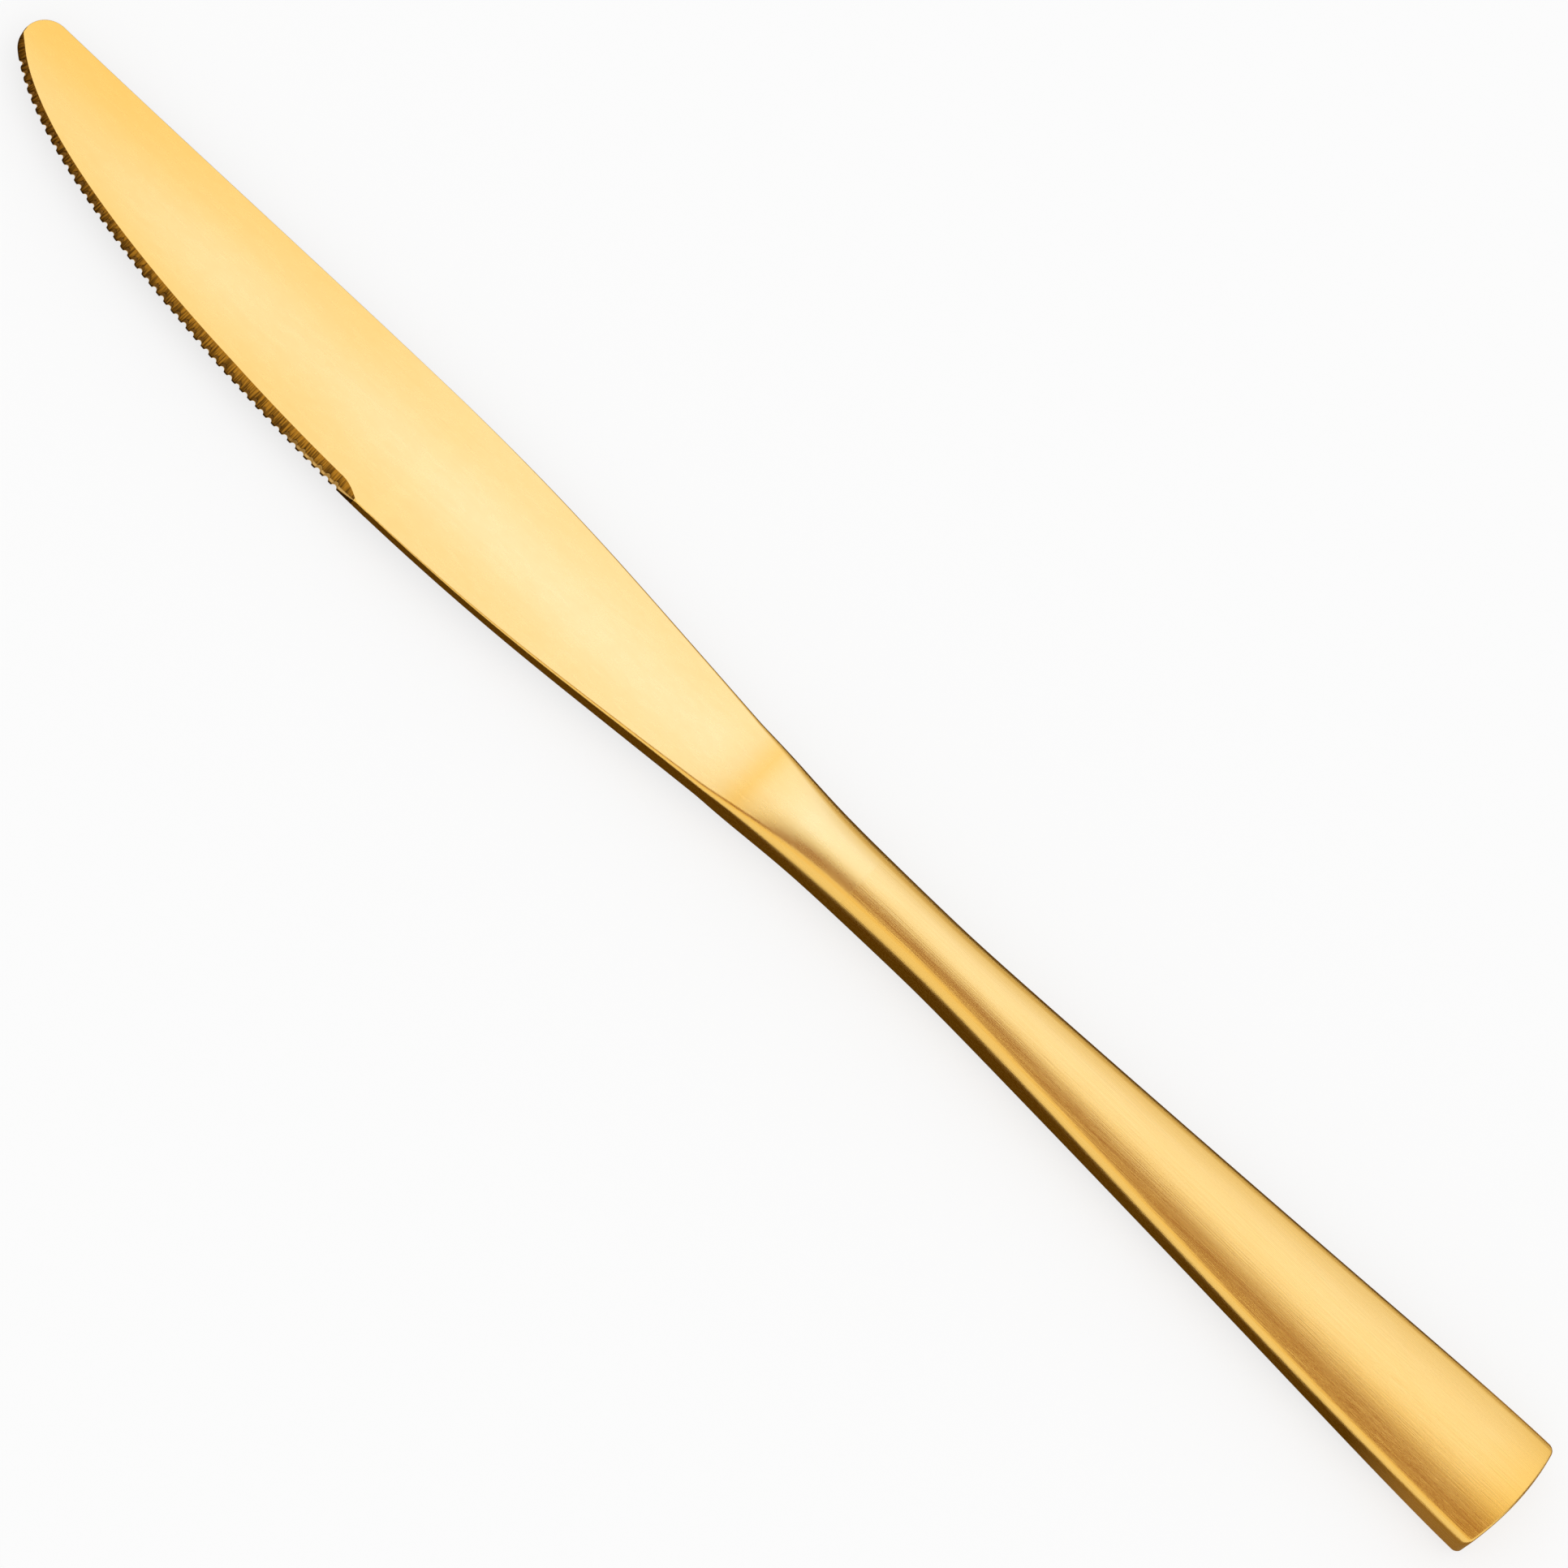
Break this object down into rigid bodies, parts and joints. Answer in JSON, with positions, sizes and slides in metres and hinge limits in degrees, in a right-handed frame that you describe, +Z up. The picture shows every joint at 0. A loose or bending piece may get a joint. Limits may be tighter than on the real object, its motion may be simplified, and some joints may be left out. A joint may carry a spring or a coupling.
{
  "type": "table knife",
  "caption": "Gold-coloured table knife with a round-nosed blade, a finely serrated edge ground from one side, a slim oval neck and a crowned hollow handle.",
  "frame": {"origin": "under the middle of the knife's length and width, on the surface that the handle lies on", "axes": "+X from the blade's tip to the handle's butt, +Y towards the spine and -Y towards the cutting edge, +Z up, out of the face that the edge is ground from"},
  "size_m": [0.23, 0.0172, 0.0073],
  "materials": {
    "gold_steel": "stainless steel with a thin gold-coloured coating, brushed lengthwise to a satin sheen",
    "gold_shell": "pressed stainless steel sheet with the same gold-coloured coating, brushed lengthwise",
    "solder": "hard solder, dressed flush and coated with the rest",
    "filler": "dull, cast in place"
  },
  "bodies": {
    "root": {"blade": "gold_steel", "upper_handle_shell": "gold_shell", "lower_handle_shell": "gold_shell", "seam_solder": "solder", "neck_solder": "solder", "handle_filler": "filler"}
  },
  "joints": []
}
